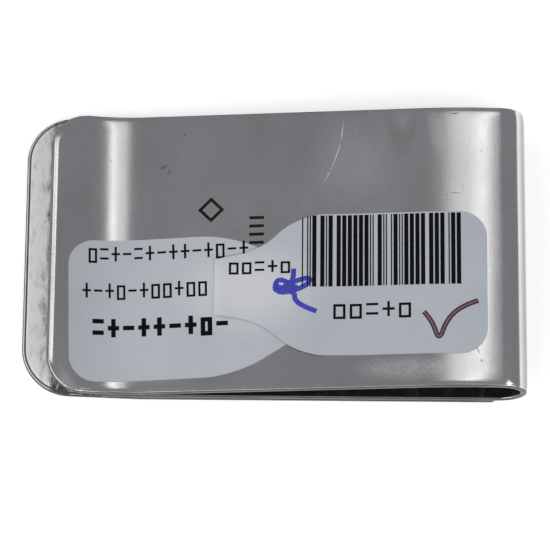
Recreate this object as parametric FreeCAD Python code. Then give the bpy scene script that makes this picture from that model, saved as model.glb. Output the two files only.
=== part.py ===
"""Money clip: a spring strip bent to a U, a decorated face plate soldered on its front leg, and a paper price tag.

Millimetres. X runs along the clip with the bend at +X, Y across it and Z up. The clip lies on its face: the face
overlay is at Z = 0, the front leg lies on the plate, and the back arm is on top. The origin is the centre of the
clip's footprint.
"""

import FreeCAD
import Part
import math
import os

from FreeCAD import Vector

# ---- overall -------------------------------------------------------------------------------------------------
overall_length = 54.8        # from the face plate's free end to the outside of the bend
strip_width = 31.75          # the spring strip and the face plate are equally wide

# ---- spring strip --------------------------------------------------------------------------------------------
strip_thickness = 0.81
bend_inner_radius = 2.2
leg_setback = 6.0            # from the face plate's free end to the end of the front leg
arm_setback = 3.0            # from the face plate's free end to the end of the back arm
lip_length = 8.1             # from the line where the back arm grips to its end
lip_radius = 17.5            # hollow side of the turned-up lip
crown_radius = 45.0          # top side of the arm, next to the bend
crown_start_deg = 3.8        # the arm still rises by this much where the crown takes over from the bend
grip_gap = 0.3               # between the arm and the front leg at the grip line, at rest
arm_corner_radius = 4.0
leg_corner_radius = 4.0

# ---- flex of the back arm ------------------------------------------------------------------------------------
open_limit_deg = 9.0
flex_clearance_deg = 1.5     # left between the bend and the arm when the arm is fully open

# ---- punched marks on the arm --------------------------------------------------------------------------------
punch_depth = 0.12
punch_line = 0.34            # width of a punched line
lozenge_size = 2.9
lozenge_x = -6.9
lozenge_y = 4.75
tally_count = 4
tally_length = 1.6
tally_pitch = 0.95
tally_x = -1.9
tally_top_y = 3.7

# ---- face plate and solder -----------------------------------------------------------------------------------
plate_thickness = 0.64
plate_free_corner_radius = 5.2
side_taper = 0.42            # the long sides are filed in by this much at the free end
side_taper_length = 13.0
far_flare = 0.6              # the plate's far side runs out by this much at the free end
far_flare_length = 30.0
plate_bend_corner_radius = 0.8
fillet_width = 0.45          # solder that shows round the end of the front leg
fillet_height = 0.3

# ---- pierced overlay -----------------------------------------------------------------------------------------
overlay_thickness = 0.51
overlay_inset = 0.55         # the overlay stops this far inside the plate's edge
window_clearance = 0.3       # dark line left round each piece that is set in a window
inlay_drop = 0.06            # inlaid pieces stay this far below the overlay's face
step_count = 4               # stairs from the tip to the middle of the stepped lozenge
step_run = 2.6
step_rise = 1.75
bead_count = 14
bead_diameter = 1.5
bead_pitch = 3.0
bead_edge_distance = 4.25    # from the plate's long side to the middle of a row of beads
bar_width = 1.5
bar_length = 13.0
bar_x = 20.2
boss_diameter = 5.0
ray_count = 3                # plain pierced slots between the lozenge and each bar
ray_width = 0.8
ray_pitch = 1.9
ray_length = 9.0
ray_first_x = 12.9

# ---- price tag -----------------------------------------------------------------------------------------------
paper_thickness = 0.1
glue_gap = 0.02
tag_height = 16.0
tag_neck_height = 8.0        # where the shoulders run into the neck
tag_fold_height = 6.3        # where the neck is folded back on itself
tag_corner_radius = 2.6
tag_left_end_x = -22.4
tag_left_shoulder_x = -4.3
tag_left_neck_x = 2.6
tag_left_margin = 1.5        # from the strip's near side to the left pad
tag_left_turn_deg = 1.6
tag_right_end_x = 23.0
tag_right_shoulder_x = 4.6
tag_right_neck_x = -1.6
tag_fold_x = -6.2
tag_right_margin = 3.65      # from the strip's near side to the right pad
tag_stack_layers = 3         # the neck is folded twice, so three layers of paper lie there

# ---- derived heights and places ------------------------------------------------------------------------------
bend_outer_radius = bend_inner_radius + strip_thickness
bend_mid_radius = bend_inner_radius + strip_thickness / 2
bend_x = overall_length / 2 - bend_outer_radius
plate_bottom_z = overlay_thickness
leg_bottom_z = plate_bottom_z + plate_thickness
leg_top_z = leg_bottom_z + strip_thickness
bend_z = leg_top_z + bend_inner_radius
plate_free_x = -overall_length / 2
plate_length = bend_x - plate_free_x
front_leg_length = plate_length - leg_setback
grip_length = plate_length - arm_setback - lip_length
bead_row_y = strip_width / 2 - bead_edge_distance
tag_left_y = tag_left_margin + (tag_height - strip_width) / 2
tag_right_y = tag_right_margin + (tag_height - strip_width) / 2
decor_x = plate_free_x + plate_length / 2
inlay_bottom_z = inlay_drop
inlay_height = overlay_thickness - inlay_drop
cut_height = 40.0            # taller than the clip, for prisms that cut right through it


def direction(heading_deg):
    """Unit vector in the XZ plane, heading measured from +X towards +Z."""
    angle = math.radians(heading_deg)
    return Vector(math.cos(angle), 0, math.sin(angle))


def left_normal(heading_deg):
    """Unit vector to the left of a heading in the XZ plane."""
    return direction(heading_deg + 90)


class SidePath:
    """A chain of tangent runs and arcs in the XZ plane, with a heading, that bands of metal or paper follow."""

    def __init__(self, start, heading_deg):
        self.point = start
        self.heading = heading_deg
        self.pieces = []

    def run(self, length):
        """Adds a straight stretch."""
        end = self.point + direction(self.heading) * length
        self.pieces.append(("run", [(self.point, self.heading), (end, self.heading)]))
        self.point = end
        return self

    def arc(self, radius, turn_deg):
        """Adds an arc of this centreline radius. A positive turn bends to the left."""
        side = 1 if turn_deg > 0 else -1
        centre = self.point + left_normal(self.heading) * radius * side
        places = []
        for share in (0, 0.5, 1):
            heading = self.heading + turn_deg * share
            places.append((centre - left_normal(heading) * radius * side, heading))
        self.pieces.append(("arc", places))
        self.point, self.heading = places[-1]
        return self

    def edges(self, offset):
        """The path's edges, moved to the right by offset (the outside of a bend to the left)."""
        made = []
        for kind, places in self.pieces:
            points = [p - left_normal(h) * offset for p, h in places]
            made.append(Part.LineSegment(*points) if kind == "run" else Part.Arc(*points))
        return [curve.toShape() for curve in made]

    def ends(self, offset):
        """First and last point of the path, moved to the right by offset."""
        first_point, first_heading = self.pieces[0][1][0]
        last_point, last_heading = self.pieces[-1][1][-1]
        return (first_point - left_normal(first_heading) * offset,
                last_point - left_normal(last_heading) * offset)

    def band(self, inner, outer, width):
        """A solid between two offsets of the path, centred on Y = 0."""
        inner_first, inner_last = self.ends(inner)
        outer_first, outer_last = self.ends(outer)
        edges = self.edges(inner) + self.edges(outer)
        edges.append(Part.LineSegment(inner_first, outer_first).toShape())
        edges.append(Part.LineSegment(inner_last, outer_last).toShape())
        wire = Part.Wire(Part.__sortEdges__(edges))
        face = Part.Face(wire)
        face.translate(Vector(0, -width / 2, 0))
        return face.extrude(Vector(0, width, 0))


def arm_run_length(slope_deg):
    """Length of the arm's straight stretch for a slope, so that the grip line is grip_length from the bend."""
    slope = math.radians(slope_deg)
    crown = math.radians(crown_start_deg)
    to_grip = grip_length + bend_mid_radius * math.sin(crown)
    crown_reach = (crown_radius - strip_thickness / 2) * (math.sin(crown) + math.sin(slope))
    lip_reach = (lip_radius + strip_thickness / 2) * math.sin(slope)
    return (to_grip - crown_reach - lip_reach) / math.cos(slope)


def arm_drop(slope_deg):
    """How far the arm's centreline comes down from the end of the bend to the grip line."""
    slope = math.radians(slope_deg)
    crown = math.radians(crown_start_deg)
    crown_fall = (crown_radius - strip_thickness / 2) * (math.cos(crown) - math.cos(slope))
    lip_fall = (lip_radius + strip_thickness / 2) * (1 - math.cos(slope))
    return crown_fall + arm_run_length(slope_deg) * math.sin(slope) + lip_fall


def solve_arm_slope():
    """The slope that brings the arm down to the grip gap, by halving the range."""
    crown = math.radians(crown_start_deg)
    wanted = (bend_z + bend_mid_radius * math.cos(crown)) - (leg_top_z + grip_gap + strip_thickness / 2)
    low, high = 0.0, 30.0
    for _ in range(60):
        middle = (low + high) / 2
        if arm_drop(middle) < wanted:
            low = middle
        else:
            high = middle
    return (low + high) / 2


def bend_turn_deg():
    """Turn of the whole bend, from the front leg to the crown of the arm."""
    return 180 - crown_start_deg


def leg_path():
    """Centreline of the front leg and the part of the bend that belongs to it."""
    start = Vector(bend_x - front_leg_length, 0, leg_bottom_z + strip_thickness / 2)
    flex_gap = open_limit_deg + flex_clearance_deg
    return SidePath(start, 0).run(front_leg_length).arc(bend_mid_radius, bend_turn_deg() - flex_gap)


def arm_path():
    """Centreline of the back arm: crown, straight stretch and turned-up lip."""
    slope = solve_arm_slope()
    heading = bend_turn_deg()
    start = Vector(bend_x, 0, bend_z) - left_normal(heading) * bend_mid_radius
    lip_centre_radius = lip_radius + strip_thickness / 2
    lip_end_deg = math.degrees(math.asin(lip_length / lip_centre_radius))
    path = SidePath(start, heading)
    path.arc(crown_radius - strip_thickness / 2, crown_start_deg + slope)
    path.run(arm_run_length(slope))
    path.arc(lip_centre_radius, -(slope + lip_end_deg))
    return path


def outline_prism(points, radii, low_z=-cut_height / 2, high_z=cut_height / 2):
    """A prism over a polygon in plan whose corners have the given radii (0 leaves a corner sharp)."""
    count = len(points)
    edges = []
    previous_end = None
    first_start = None
    for index, (corner, radius) in enumerate(zip(points, radii)):
        before = Vector(*points[index - 1], 0) - Vector(*corner, 0)
        after = Vector(*points[(index + 1) % count], 0) - Vector(*corner, 0)
        here = Vector(*corner, 0)
        angle = before.getAngle(after)
        if radius > 0:
            setback = min(radius / math.tan(angle / 2), 0.499 * before.Length, 0.499 * after.Length)
            used_radius = setback * math.tan(angle / 2)
            start = here + before.normalize() * setback
            end = here + after.normalize() * setback
            inward = (before + after).normalize()
            centre = here + inward * (used_radius / math.sin(angle / 2))
            middle = centre - inward * used_radius
        else:
            start = end = here
        if previous_end is not None and previous_end.distanceToPoint(start) > 1e-6:
            edges.append(Part.LineSegment(previous_end, start).toShape())
        if first_start is None:
            first_start = start
        if radius > 0:
            edges.append(Part.Arc(start, middle, end).toShape())
        previous_end = end
    if previous_end.distanceToPoint(first_start) > 1e-6:
        edges.append(Part.LineSegment(previous_end, first_start).toShape())
    face = Part.Face(Part.Wire(Part.__sortEdges__(edges)))
    face.translate(Vector(0, 0, low_z))
    return face.extrude(Vector(0, 0, high_z - low_z))


def rounded_rectangle(low_x, high_x, width, low_x_radius, high_x_radius, low_z, high_z, centre_y=0.0):
    """A prism over a rectangle in plan, with one corner radius at each end."""
    low_y = centre_y - width / 2
    high_y = centre_y + width / 2
    points = [(low_x, low_y), (high_x, low_y), (high_x, high_y), (low_x, high_y)]
    radii = [low_x_radius, high_x_radius, high_x_radius, low_x_radius]
    return outline_prism(points, radii, low_z, high_z)


def filed_outline(low_x, high_x, corner_radius, high_x_radius, low_z, high_z, inset=0.0, flared=False):
    """A prism over the outline of the sheets, whose long sides are filed in a little towards the free end.

    A flared outline runs out on the far side instead, as the hand-cut plate and its overlay do.
    """
    half = strip_width / 2 - inset
    taper_x = plate_free_x + side_taper_length
    narrow = half - side_taper * (taper_x - low_x) / side_taper_length
    far_x = taper_x
    far_half = narrow
    if flared:
        far_x = plate_free_x + far_flare_length
        far_half = half + far_flare * (far_x - low_x) / far_flare_length
    points = [(low_x, -narrow), (taper_x, -half), (high_x, -half),
              (high_x, half), (far_x, half), (low_x, far_half)]
    radii = [corner_radius, 0, high_x_radius, high_x_radius, 0, corner_radius]
    return outline_prism(points, radii, low_z, high_z)


# ---- spring strip --------------------------------------------------------------------------------------------

def make_front_leg():
    """The front leg with its share of the bend, round-cornered at its free end."""
    strip = leg_path().band(-strip_thickness / 2, strip_thickness / 2, strip_width)
    blank = filed_outline(bend_x - front_leg_length, overall_length, leg_corner_radius, 0,
                          -cut_height / 2, cut_height / 2)
    return strip.common(blank)


def make_punches():
    """Prisms in plan for the plain marks punched in the arm: an open lozenge and a short tally of bars."""
    half = lozenge_size / 2
    inner_half = half - punch_line * math.sqrt(2)
    corners = [(1, 0), (0, 1), (-1, 0), (0, -1)]
    outer = outline_prism([(lozenge_x + half * u, lozenge_y + half * v) for u, v in corners], [0] * 4)
    inner = outline_prism([(lozenge_x + inner_half * u, lozenge_y + inner_half * v) for u, v in corners], [0] * 4)
    punches = [outer.cut(inner)]
    for index in range(tally_count):
        bar_y = tally_top_y - index * tally_pitch
        punches.append(rounded_rectangle(tally_x - tally_length / 2, tally_x + tally_length / 2, punch_line,
                                         0, 0, -cut_height / 2, cut_height / 2, bar_y))
    return punches


def make_back_arm():
    """The back arm with its turned-up lip, round-cornered at the lip and with the punched marks sunk in."""
    path = arm_path()
    strip = path.band(-strip_thickness / 2, strip_thickness / 2, strip_width)
    blank = rounded_rectangle(bend_x - grip_length - lip_length, overall_length, strip_width,
                              arm_corner_radius, 0, -cut_height / 2, cut_height / 2)
    arm = strip.common(blank)
    skin = path.band(strip_thickness / 2 - punch_depth, strip_thickness, strip_width)
    for punch in make_punches():
        arm = arm.cut(skin.common(punch))
    return arm


# ---- face plate, solder and overlay --------------------------------------------------------------------------

def make_face_plate():
    """The plate that carries the decoration, soldered to the outside of the front leg."""
    return filed_outline(plate_free_x, plate_free_x + plate_length, plate_free_corner_radius,
                         plate_bend_corner_radius, plate_bottom_z, leg_bottom_z, flared=True)


def make_solder_fillet():
    """Solder that has run out round the end of the front leg, sloping down to the plate."""
    end_x = bend_x - front_leg_length
    middle_z = leg_bottom_z + fillet_height / 2
    top_z = leg_bottom_z + fillet_height
    low_layer = filed_outline(end_x - fillet_width, bend_x, leg_corner_radius + fillet_width, 0,
                              leg_bottom_z, middle_z)
    high_layer = filed_outline(end_x - fillet_width / 2, bend_x, leg_corner_radius + fillet_width / 2, 0,
                               leg_bottom_z, top_z)
    leg_space = filed_outline(end_x, bend_x, leg_corner_radius, 0, leg_bottom_z, top_z)
    return low_layer.fuse(high_layer).cut(leg_space).removeSplitter()


def stepped_lozenge(shrink, low_z, high_z):
    """A diamond with stairs for sides, made smaller all round by shrink."""
    bars = []
    for step in range(step_count):
        half_x = step_run * (step_count - step) - shrink
        half_y = step_rise * (step + 1) - shrink
        bars.append(rounded_rectangle(-half_x, half_x, 2 * half_y, 0, 0, low_z, high_z))
    lozenge = bars[0]
    for bar in bars[1:]:
        lozenge = lozenge.fuse(bar)
    return lozenge.removeSplitter()


def bead_places():
    """X of each bead in a row, evenly spaced about the middle of the plate's decorated length."""
    return [decor_x + (index - (bead_count - 1) / 2) * bead_pitch for index in range(bead_count)]


def make_windows():
    """Prisms for the windows that are pierced through the overlay."""
    low_z, high_z = -overlay_thickness, 2 * overlay_thickness
    lozenge = stepped_lozenge(0, low_z, high_z)
    lozenge.translate(Vector(decor_x, 0, 0))
    windows = [lozenge]
    slot_half = (bead_count - 1) / 2 * bead_pitch + bead_diameter / 2 + window_clearance
    slot_width = bead_diameter + 2 * window_clearance
    for side in (-1, 1):
        windows.append(rounded_rectangle(decor_x - slot_half, decor_x + slot_half, slot_width,
                                         slot_width / 2, slot_width / 2, low_z, high_z, side * bead_row_y))
        centre = decor_x + side * bar_x
        half = bar_width / 2 + window_clearance
        windows.append(rounded_rectangle(centre - half, centre + half, bar_length + 2 * window_clearance,
                                         0.3, 0.3, low_z, high_z))
        for index in range(ray_count):
            centre = decor_x + side * (ray_first_x + index * ray_pitch)
            windows.append(rounded_rectangle(centre - ray_width / 2, centre + ray_width / 2,
                                             ray_length, ray_width / 2, ray_width / 2, low_z, high_z))
    return windows


def make_face_overlay():
    """The pierced top sheet of the face."""
    sheet = filed_outline(plate_free_x + overlay_inset, plate_free_x + plate_length - overlay_inset,
                          plate_free_corner_radius - overlay_inset, plate_bend_corner_radius,
                          0, overlay_thickness, overlay_inset, flared=True)
    for window in make_windows():
        sheet = sheet.cut(window)
    return sheet


def make_gold_plaque():
    """The stepped plaque in the middle window, with a round seat for the boss."""
    plaque = stepped_lozenge(window_clearance, inlay_bottom_z, overlay_thickness)
    plaque.translate(Vector(decor_x, 0, 0))
    seat = Part.makeCylinder(boss_diameter / 2 + window_clearance, cut_height,
                             Vector(decor_x, 0, -cut_height / 2))
    return plaque.cut(seat)


def dome(diameter, centre_x, centre_y):
    """A low dome that stands on the plate and bulges down to the inlaid pieces' level."""
    radius = ((diameter / 2) ** 2 + inlay_height ** 2) / (2 * inlay_height)
    ball = Part.makeSphere(radius, Vector(centre_x, centre_y, inlay_bottom_z + radius))
    keep = Part.makeBox(diameter, diameter, inlay_height,
                        Vector(centre_x - diameter / 2, centre_y - diameter / 2, inlay_bottom_z))
    return ball.common(keep)


def make_centre_boss():
    """The low domed boss in the plaque."""
    return dome(boss_diameter, decor_x, 0)


def make_bead_row(side):
    """One row of beads in its slot, as separate solids."""
    return Part.makeCompound([dome(bead_diameter, x, side * bead_row_y) for x in bead_places()])


def make_gold_bar(side):
    """A flat gold bar set across one end of the face."""
    centre = decor_x + side * bar_x
    return rounded_rectangle(centre - bar_width / 2, centre + bar_width / 2, bar_length, 0.2, 0.2,
                             inlay_bottom_z, overlay_thickness)


# ---- price tag -----------------------------------------------------------------------------------------------

def tag_pad(end_x, shoulder_x, neck_x, tip_x, centre_y):
    """Plan prism of a tag pad: a round-cornered rectangle whose shoulders run in to a narrow neck."""
    half = tag_height / 2
    neck = tag_neck_height / 2
    tip = tag_fold_height / 2
    points = [(end_x, -half), (shoulder_x, -half), (neck_x, -neck), (tip_x, -tip),
              (tip_x, tip), (neck_x, neck), (shoulder_x, half), (end_x, half)]
    radii = [tag_corner_radius, tag_corner_radius, 1.5, 0, 0, 1.5, tag_corner_radius, tag_corner_radius]
    prism = outline_prism(points, radii)
    prism.translate(Vector(0, centre_y, 0))
    return prism


def make_price_tag():
    """The paper tag on the arm: two pads joined by a neck that is folded twice and lies as a small stack."""
    path = arm_path()
    inner = strip_thickness / 2 + glue_gap
    single = path.band(inner, inner + paper_thickness, strip_width)
    stack = path.band(inner, inner + tag_stack_layers * paper_thickness, strip_width)
    left = tag_pad(tag_left_end_x, tag_left_shoulder_x, tag_left_neck_x, tag_left_neck_x + 2, tag_left_y)
    middle_x = (tag_left_end_x + tag_left_neck_x) / 2
    left.rotate(Vector(middle_x, tag_left_y, 0), Vector(0, 0, 1), tag_left_turn_deg)
    right = tag_pad(tag_right_end_x, tag_right_shoulder_x, tag_right_neck_x, tag_fold_x, tag_right_y)
    over_neck = rounded_rectangle(tag_fold_x, tag_right_shoulder_x, tag_fold_height, 0, 0,
                                  -cut_height / 2, cut_height / 2, tag_right_y)
    return single.common(left.fuse(right)).fuse(stack.common(over_neck)).removeSplitter()


def main():
    """Builds every piece and writes one STEP file per node."""
    nodes = {
        "front_leg": make_front_leg(),
        "back_arm": make_back_arm(),
        "face_plate": make_face_plate(),
        "solder_fillet": make_solder_fillet(),
        "face_overlay": make_face_overlay(),
        "gold_plaque": make_gold_plaque(),
        "centre_boss": make_centre_boss(),
        "bead_row_lower": make_bead_row(-1),
        "bead_row_upper": make_bead_row(1),
        "gold_bar_free_end": make_gold_bar(-1),
        "gold_bar_bend_end": make_gold_bar(1),
        "price_tag": make_price_tag(),
    }
    os.makedirs("parts", exist_ok=True)
    for name, shape in nodes.items():
        box = shape.BoundBox
        print(f"{name:18s} solids {len(shape.Solids):2d}  valid {shape.isValid()}  volume {shape.Volume:8.2f}  "
              f"x {box.XMin:7.2f} {box.XMax:7.2f}  y {box.YMin:7.2f} {box.YMax:7.2f}  z {box.ZMin:5.2f} {box.ZMax:5.2f}")
        shape.exportStep(f"parts/{name}.step")
    print(f"arm slope {solve_arm_slope():.3f} deg, straight run {arm_run_length(solve_arm_slope()):.2f} mm, "
          f"hinge at x {bend_x + bend_mid_radius * 2 / math.pi:.3f} z {bend_z:.3f}, leg top z {leg_top_z:.3f}")


main()
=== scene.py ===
"""A bent-strip money clip lying on its face, with a paper price tag folded on its back arm.

The spring strip is one band of satin silver: a front leg, a bend, and a back arm whose lip turns up. A
face plate is soldered under the front leg and carries a pierced overlay with gold trim. Everything is in
metres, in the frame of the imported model: X runs towards the bend, Y across the strip, Z up from the face.
"""

import logging
import math
from dataclasses import dataclass, field
from enum import Enum, IntEnum
from typing import Callable, Iterable, Sequence

import bmesh
import bpy
import numpy as np
from mathutils import Matrix, Vector


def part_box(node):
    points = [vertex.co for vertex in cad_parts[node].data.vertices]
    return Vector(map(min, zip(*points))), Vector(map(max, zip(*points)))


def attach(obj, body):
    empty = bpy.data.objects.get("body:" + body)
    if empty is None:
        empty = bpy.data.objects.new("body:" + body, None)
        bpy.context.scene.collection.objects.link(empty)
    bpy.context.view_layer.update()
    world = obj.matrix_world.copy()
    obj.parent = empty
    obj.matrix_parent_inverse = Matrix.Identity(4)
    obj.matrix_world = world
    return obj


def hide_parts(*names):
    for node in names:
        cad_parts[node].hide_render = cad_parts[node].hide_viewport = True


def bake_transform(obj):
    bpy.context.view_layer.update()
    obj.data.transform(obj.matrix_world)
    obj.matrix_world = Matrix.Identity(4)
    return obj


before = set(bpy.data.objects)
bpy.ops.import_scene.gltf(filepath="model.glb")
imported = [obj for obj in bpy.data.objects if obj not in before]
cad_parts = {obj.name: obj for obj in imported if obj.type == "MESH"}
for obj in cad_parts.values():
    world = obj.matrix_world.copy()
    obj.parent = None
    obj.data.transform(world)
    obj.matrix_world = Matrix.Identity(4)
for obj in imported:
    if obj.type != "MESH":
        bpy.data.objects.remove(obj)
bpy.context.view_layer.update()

logging.basicConfig(level=logging.INFO, format="%(message)s")
log = logging.getLogger("money_clip")

MM = 0.001
HAIR = 1e-7  # closeness that counts as the same place, in metres
SKIN_AREA = 1e-4  # a face larger than this, in square metres, is a slab's whole skin
FLAT = 0.999  # a face whose normal's Z is more than this lies flat
STEEP = 0.96  # a face whose normal's Z is less than this belongs to a cut edge
LIP_STEEP = 0.7  # the same at the arm's free end, where the wear slopes far in
Colour = tuple[float, float, float]
Triple = tuple[float, float, float]
Piece = bpy.types.Object
Material = bpy.types.Material
Socket = bpy.types.NodeSocket


# ---- modelling tools -----------------------------------------------------------------------------


class Element(Enum):
    """What a selection in edit mode is made of."""

    VERTEX = "VERT"
    EDGE = "EDGE"
    FACE = "FACE"


def start_clean() -> None:
    """Leaves edit mode and deselects everything, so that the next operator acts on its own piece only."""
    if bpy.context.object and bpy.context.object.mode != "OBJECT":
        bpy.ops.object.mode_set(mode="OBJECT")
    bpy.ops.object.select_all(action="DESELECT")


def make_active(piece: Piece) -> None:
    """Selects one piece alone and makes it the active one."""
    start_clean()
    piece.select_set(True)
    bpy.context.view_layer.objects.active = piece


def enter_edit(piece: Piece) -> None:
    """Opens a piece's mesh in edit mode, with nothing selected."""
    make_active(piece)
    bpy.ops.object.mode_set(mode="EDIT")
    bpy.ops.mesh.select_all(action="DESELECT")


def leave_edit() -> None:
    """Closes edit mode."""
    bpy.ops.object.mode_set(mode="OBJECT")


def choose(piece: Piece, kind: Element, test: Callable) -> int:
    """Selects the parts of a piece, open in edit mode, that pass a test.

    Args:
        piece: The piece in edit mode.
        kind: Whether vertices, edges or faces are tested.
        test: Takes a bmesh element and says whether it is wanted.

    Returns:
        How many were selected.
    """
    bpy.ops.mesh.select_mode(type=kind.value)
    bpy.ops.mesh.select_all(action="DESELECT")
    shape = bmesh.from_edit_mesh(piece.data)
    shape.normal_update()
    pool = {Element.VERTEX: shape.verts, Element.EDGE: shape.edges, Element.FACE: shape.faces}[kind]
    wanted = [element for element in pool if test(element)]
    for element in wanted:
        element.select_set(True)
    shape.select_flush_mode()
    bmesh.update_edit_mesh(piece.data)
    return len(wanted)


def add_rectangle(name: str, low: tuple[float, float], high: tuple[float, float], z: float = 0.0) -> Piece:
    """Adds a flat rectangle in plan.

    Args:
        name: The piece's name.
        low: Lowest X and Y.
        high: Highest X and Y.
        z: Its height.

    Returns:
        The new piece, its object at the origin.
    """
    start_clean()
    middle = ((low[0] + high[0]) / 2, (low[1] + high[1]) / 2, z)
    bpy.ops.mesh.primitive_plane_add(size=1.0, location=middle)
    piece = bpy.context.object
    piece.name = name
    piece.data.name = name
    piece.scale = (high[0] - low[0], high[1] - low[1], 1.0)
    bpy.ops.object.transform_apply(location=True, rotation=True, scale=True)
    return piece


def slice_mesh(places: Iterable[float], axis: Vector) -> None:
    """Cuts the mesh that is open in edit mode by a row of planes, and keeps both sides.

    Args:
        places: Where the planes cross the axis.
        axis: Unit vector that the planes are square to.
    """
    for place in places:
        bpy.ops.mesh.select_all(action="SELECT")
        bpy.ops.mesh.bisect(plane_co=axis * place, plane_no=axis, threshold=HAIR)


def cut_off(piece: Piece, place: float, axis: Vector, keep_low: bool) -> None:
    """Cuts a piece square to an axis, drops one side and closes the cut.

    Args:
        piece: The piece to cut.
        place: Where the cut crosses the axis.
        axis: Unit vector that the cut is square to.
        keep_low: Whether the lower side stays.
    """
    enter_edit(piece)
    bpy.ops.mesh.select_all(action="SELECT")
    bpy.ops.mesh.bisect(plane_co=axis * place, plane_no=axis, threshold=HAIR, use_fill=True,
                        clear_outer=keep_low, clear_inner=not keep_low)
    leave_edit()


X_AXIS = Vector((1, 0, 0))
Y_AXIS = Vector((0, 1, 0))


@dataclass(frozen=True)
class Station:
    """One place along a flat blank: how far along, how wide to each side, and how round its corners are.

    The far side, towards high Y, is as wide as the near side unless it is given its own width.
    """

    along: float
    half_width: float
    radius: float = 0.0
    far_half_width: float | None = None


def add_blank(name: str, stations: Sequence[Station], corner_steps: int = 14) -> Piece:
    """Cuts a flat blank that lies along Y = 0.

    Args:
        name: The piece's name.
        stations: The places that shape its sides, from low X to high X.
        corner_steps: Edges in each rounded corner.

    Returns:
        The flat blank, one face thick.
    """
    widest = max(station.half_width for station in stations)
    piece = add_rectangle(name, (stations[0].along, -widest), (stations[-1].along, widest))
    enter_edit(piece)
    slice_mesh([station.along for station in stations[1:-1]], X_AXIS)
    for station in stations:
        middle = (station.along, 0.0, 0.0)
        choose(piece, Element.VERTEX, lambda v: abs(v.co.x - station.along) < HAIR)
        bpy.ops.transform.resize(value=(1.0, station.half_width / widest, 1.0), center_override=middle)
        if station.far_half_width is not None:
            share = station.far_half_width / station.half_width
            choose(piece, Element.VERTEX, lambda v: abs(v.co.x - station.along) < HAIR and v.co.y > 0)
            bpy.ops.transform.resize(value=(1.0, share, 1.0), center_override=middle)
    bpy.ops.mesh.select_all(action="SELECT")
    bpy.ops.mesh.dissolve_limited(angle_limit=math.radians(0.5))
    for station in stations:
        if station.radius > 0:
            choose(piece, Element.VERTEX, lambda v: abs(v.co.x - station.along) < HAIR)
            bpy.ops.mesh.bevel(offset=station.radius, offset_type="OFFSET", segments=corner_steps,
                               affect="VERTICES", clamp_overlap=True)
    leave_edit()
    return piece


def thicken(piece: Piece, thickness: float) -> None:
    """Extrudes a flat blank upwards into a closed slab.

    Args:
        piece: The flat blank.
        thickness: How far up it grows.
    """
    enter_edit(piece)
    bpy.ops.mesh.select_all(action="SELECT")
    bpy.ops.mesh.extrude_region_move(TRANSFORM_OT_translate={"value": (0.0, 0.0, thickness)})
    bpy.ops.mesh.select_all(action="SELECT")
    bpy.ops.mesh.normals_make_consistent(inside=False)
    leave_edit()


def soften_rim(piece: Piece, width: float, steps: int = 3, sharp_deg: float = 60.0) -> None:
    """Rounds a slab's sharp edges, with a narrow band inside them that keeps the flats flat when shaded.

    Args:
        piece: The slab.
        width: How far the rounding reaches.
        steps: Edges across the rounding.
        sharp_deg: The least angle between faces that is rounded.
    """
    enter_edit(piece)
    limit = math.radians(sharp_deg)
    choose(piece, Element.EDGE, lambda e: len(e.link_faces) == 2 and e.calc_face_angle() > limit)
    bpy.ops.mesh.bevel(offset=width, offset_type="OFFSET", segments=steps, affect="EDGES", clamp_overlap=True)
    choose(piece, Element.FACE, lambda f: abs(f.normal.z) > FLAT and f.calc_area() > (6 * width) ** 2)
    bpy.ops.mesh.inset(thickness=width * 0.15, depth=0.0)
    leave_edit()


def wear_skin(piece: Piece, side: float, steps: Sequence[tuple[float, float]]) -> None:
    """Raises a slab's skin in rings, so that it falls away gently towards its edges as worn metal does.

    Args:
        piece: The slab.
        side: 1 for the upper skin, -1 for the lower.
        steps: Width and rise of each ring, from the edge inwards.
    """
    enter_edit(piece)
    choose(piece, Element.FACE, lambda f: f.normal.z * side > FLAT and f.calc_area() > SKIN_AREA)
    for width, rise in steps:
        bpy.ops.mesh.inset(thickness=width, depth=rise)
    leave_edit()


def carve(piece: Piece, cutter: Piece) -> None:
    """Takes a cutter's shape out of a piece, and removes the cutter."""
    make_active(piece)
    carving = piece.modifiers.new("carve", "BOOLEAN")
    carving.operation = "DIFFERENCE"
    carving.solver = "EXACT"
    carving.object = cutter
    bpy.ops.object.modifier_apply(modifier=carving.name)
    bpy.data.objects.remove(cutter)


def smooth(piece: Piece, angle_deg: float = 35.0) -> None:
    """Shades a piece smooth, with edges sharper than the angle kept crisp."""
    make_active(piece)
    bpy.ops.object.shade_smooth_by_angle(angle=math.radians(angle_deg))


def copy_piece(piece: Piece, name: str) -> Piece:
    """A copy of a piece with its own mesh, with no parent and shown."""
    twin = piece.copy()
    twin.data = piece.data.copy()
    twin.name = name
    twin.data.name = name
    twin.parent = None
    for key in list(twin.keys()):
        del twin[key]
    bpy.context.scene.collection.objects.link(twin)
    return twin


def join_pieces(pieces: Sequence[Piece], name: str) -> Piece:
    """Joins several pieces into the first one and names it."""
    start_clean()
    for piece in pieces:
        piece.select_set(True)
    bpy.context.view_layer.objects.active = pieces[0]
    bpy.ops.object.join()
    pieces[0].name = name
    pieces[0].data.name = name
    return pieces[0]


def read_points(piece: Piece) -> np.ndarray:
    """A mesh's points as an array, one row each."""
    flat = np.empty(len(piece.data.vertices) * 3)
    piece.data.vertices.foreach_get("co", flat)
    return flat.reshape(-1, 3)


def write_points(piece: Piece, points: np.ndarray) -> None:
    """Puts an array of points back into a mesh."""
    piece.data.vertices.foreach_set("co", points.ravel())
    piece.data.update()


def dress(piece: Piece, *materials: Material) -> None:
    """Gives a piece these materials, in this order, in place of any it had."""
    piece.data.materials.clear()
    for material in materials:
        piece.data.materials.append(material)


# ---- the strip's line ----------------------------------------------------------------------------


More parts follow.
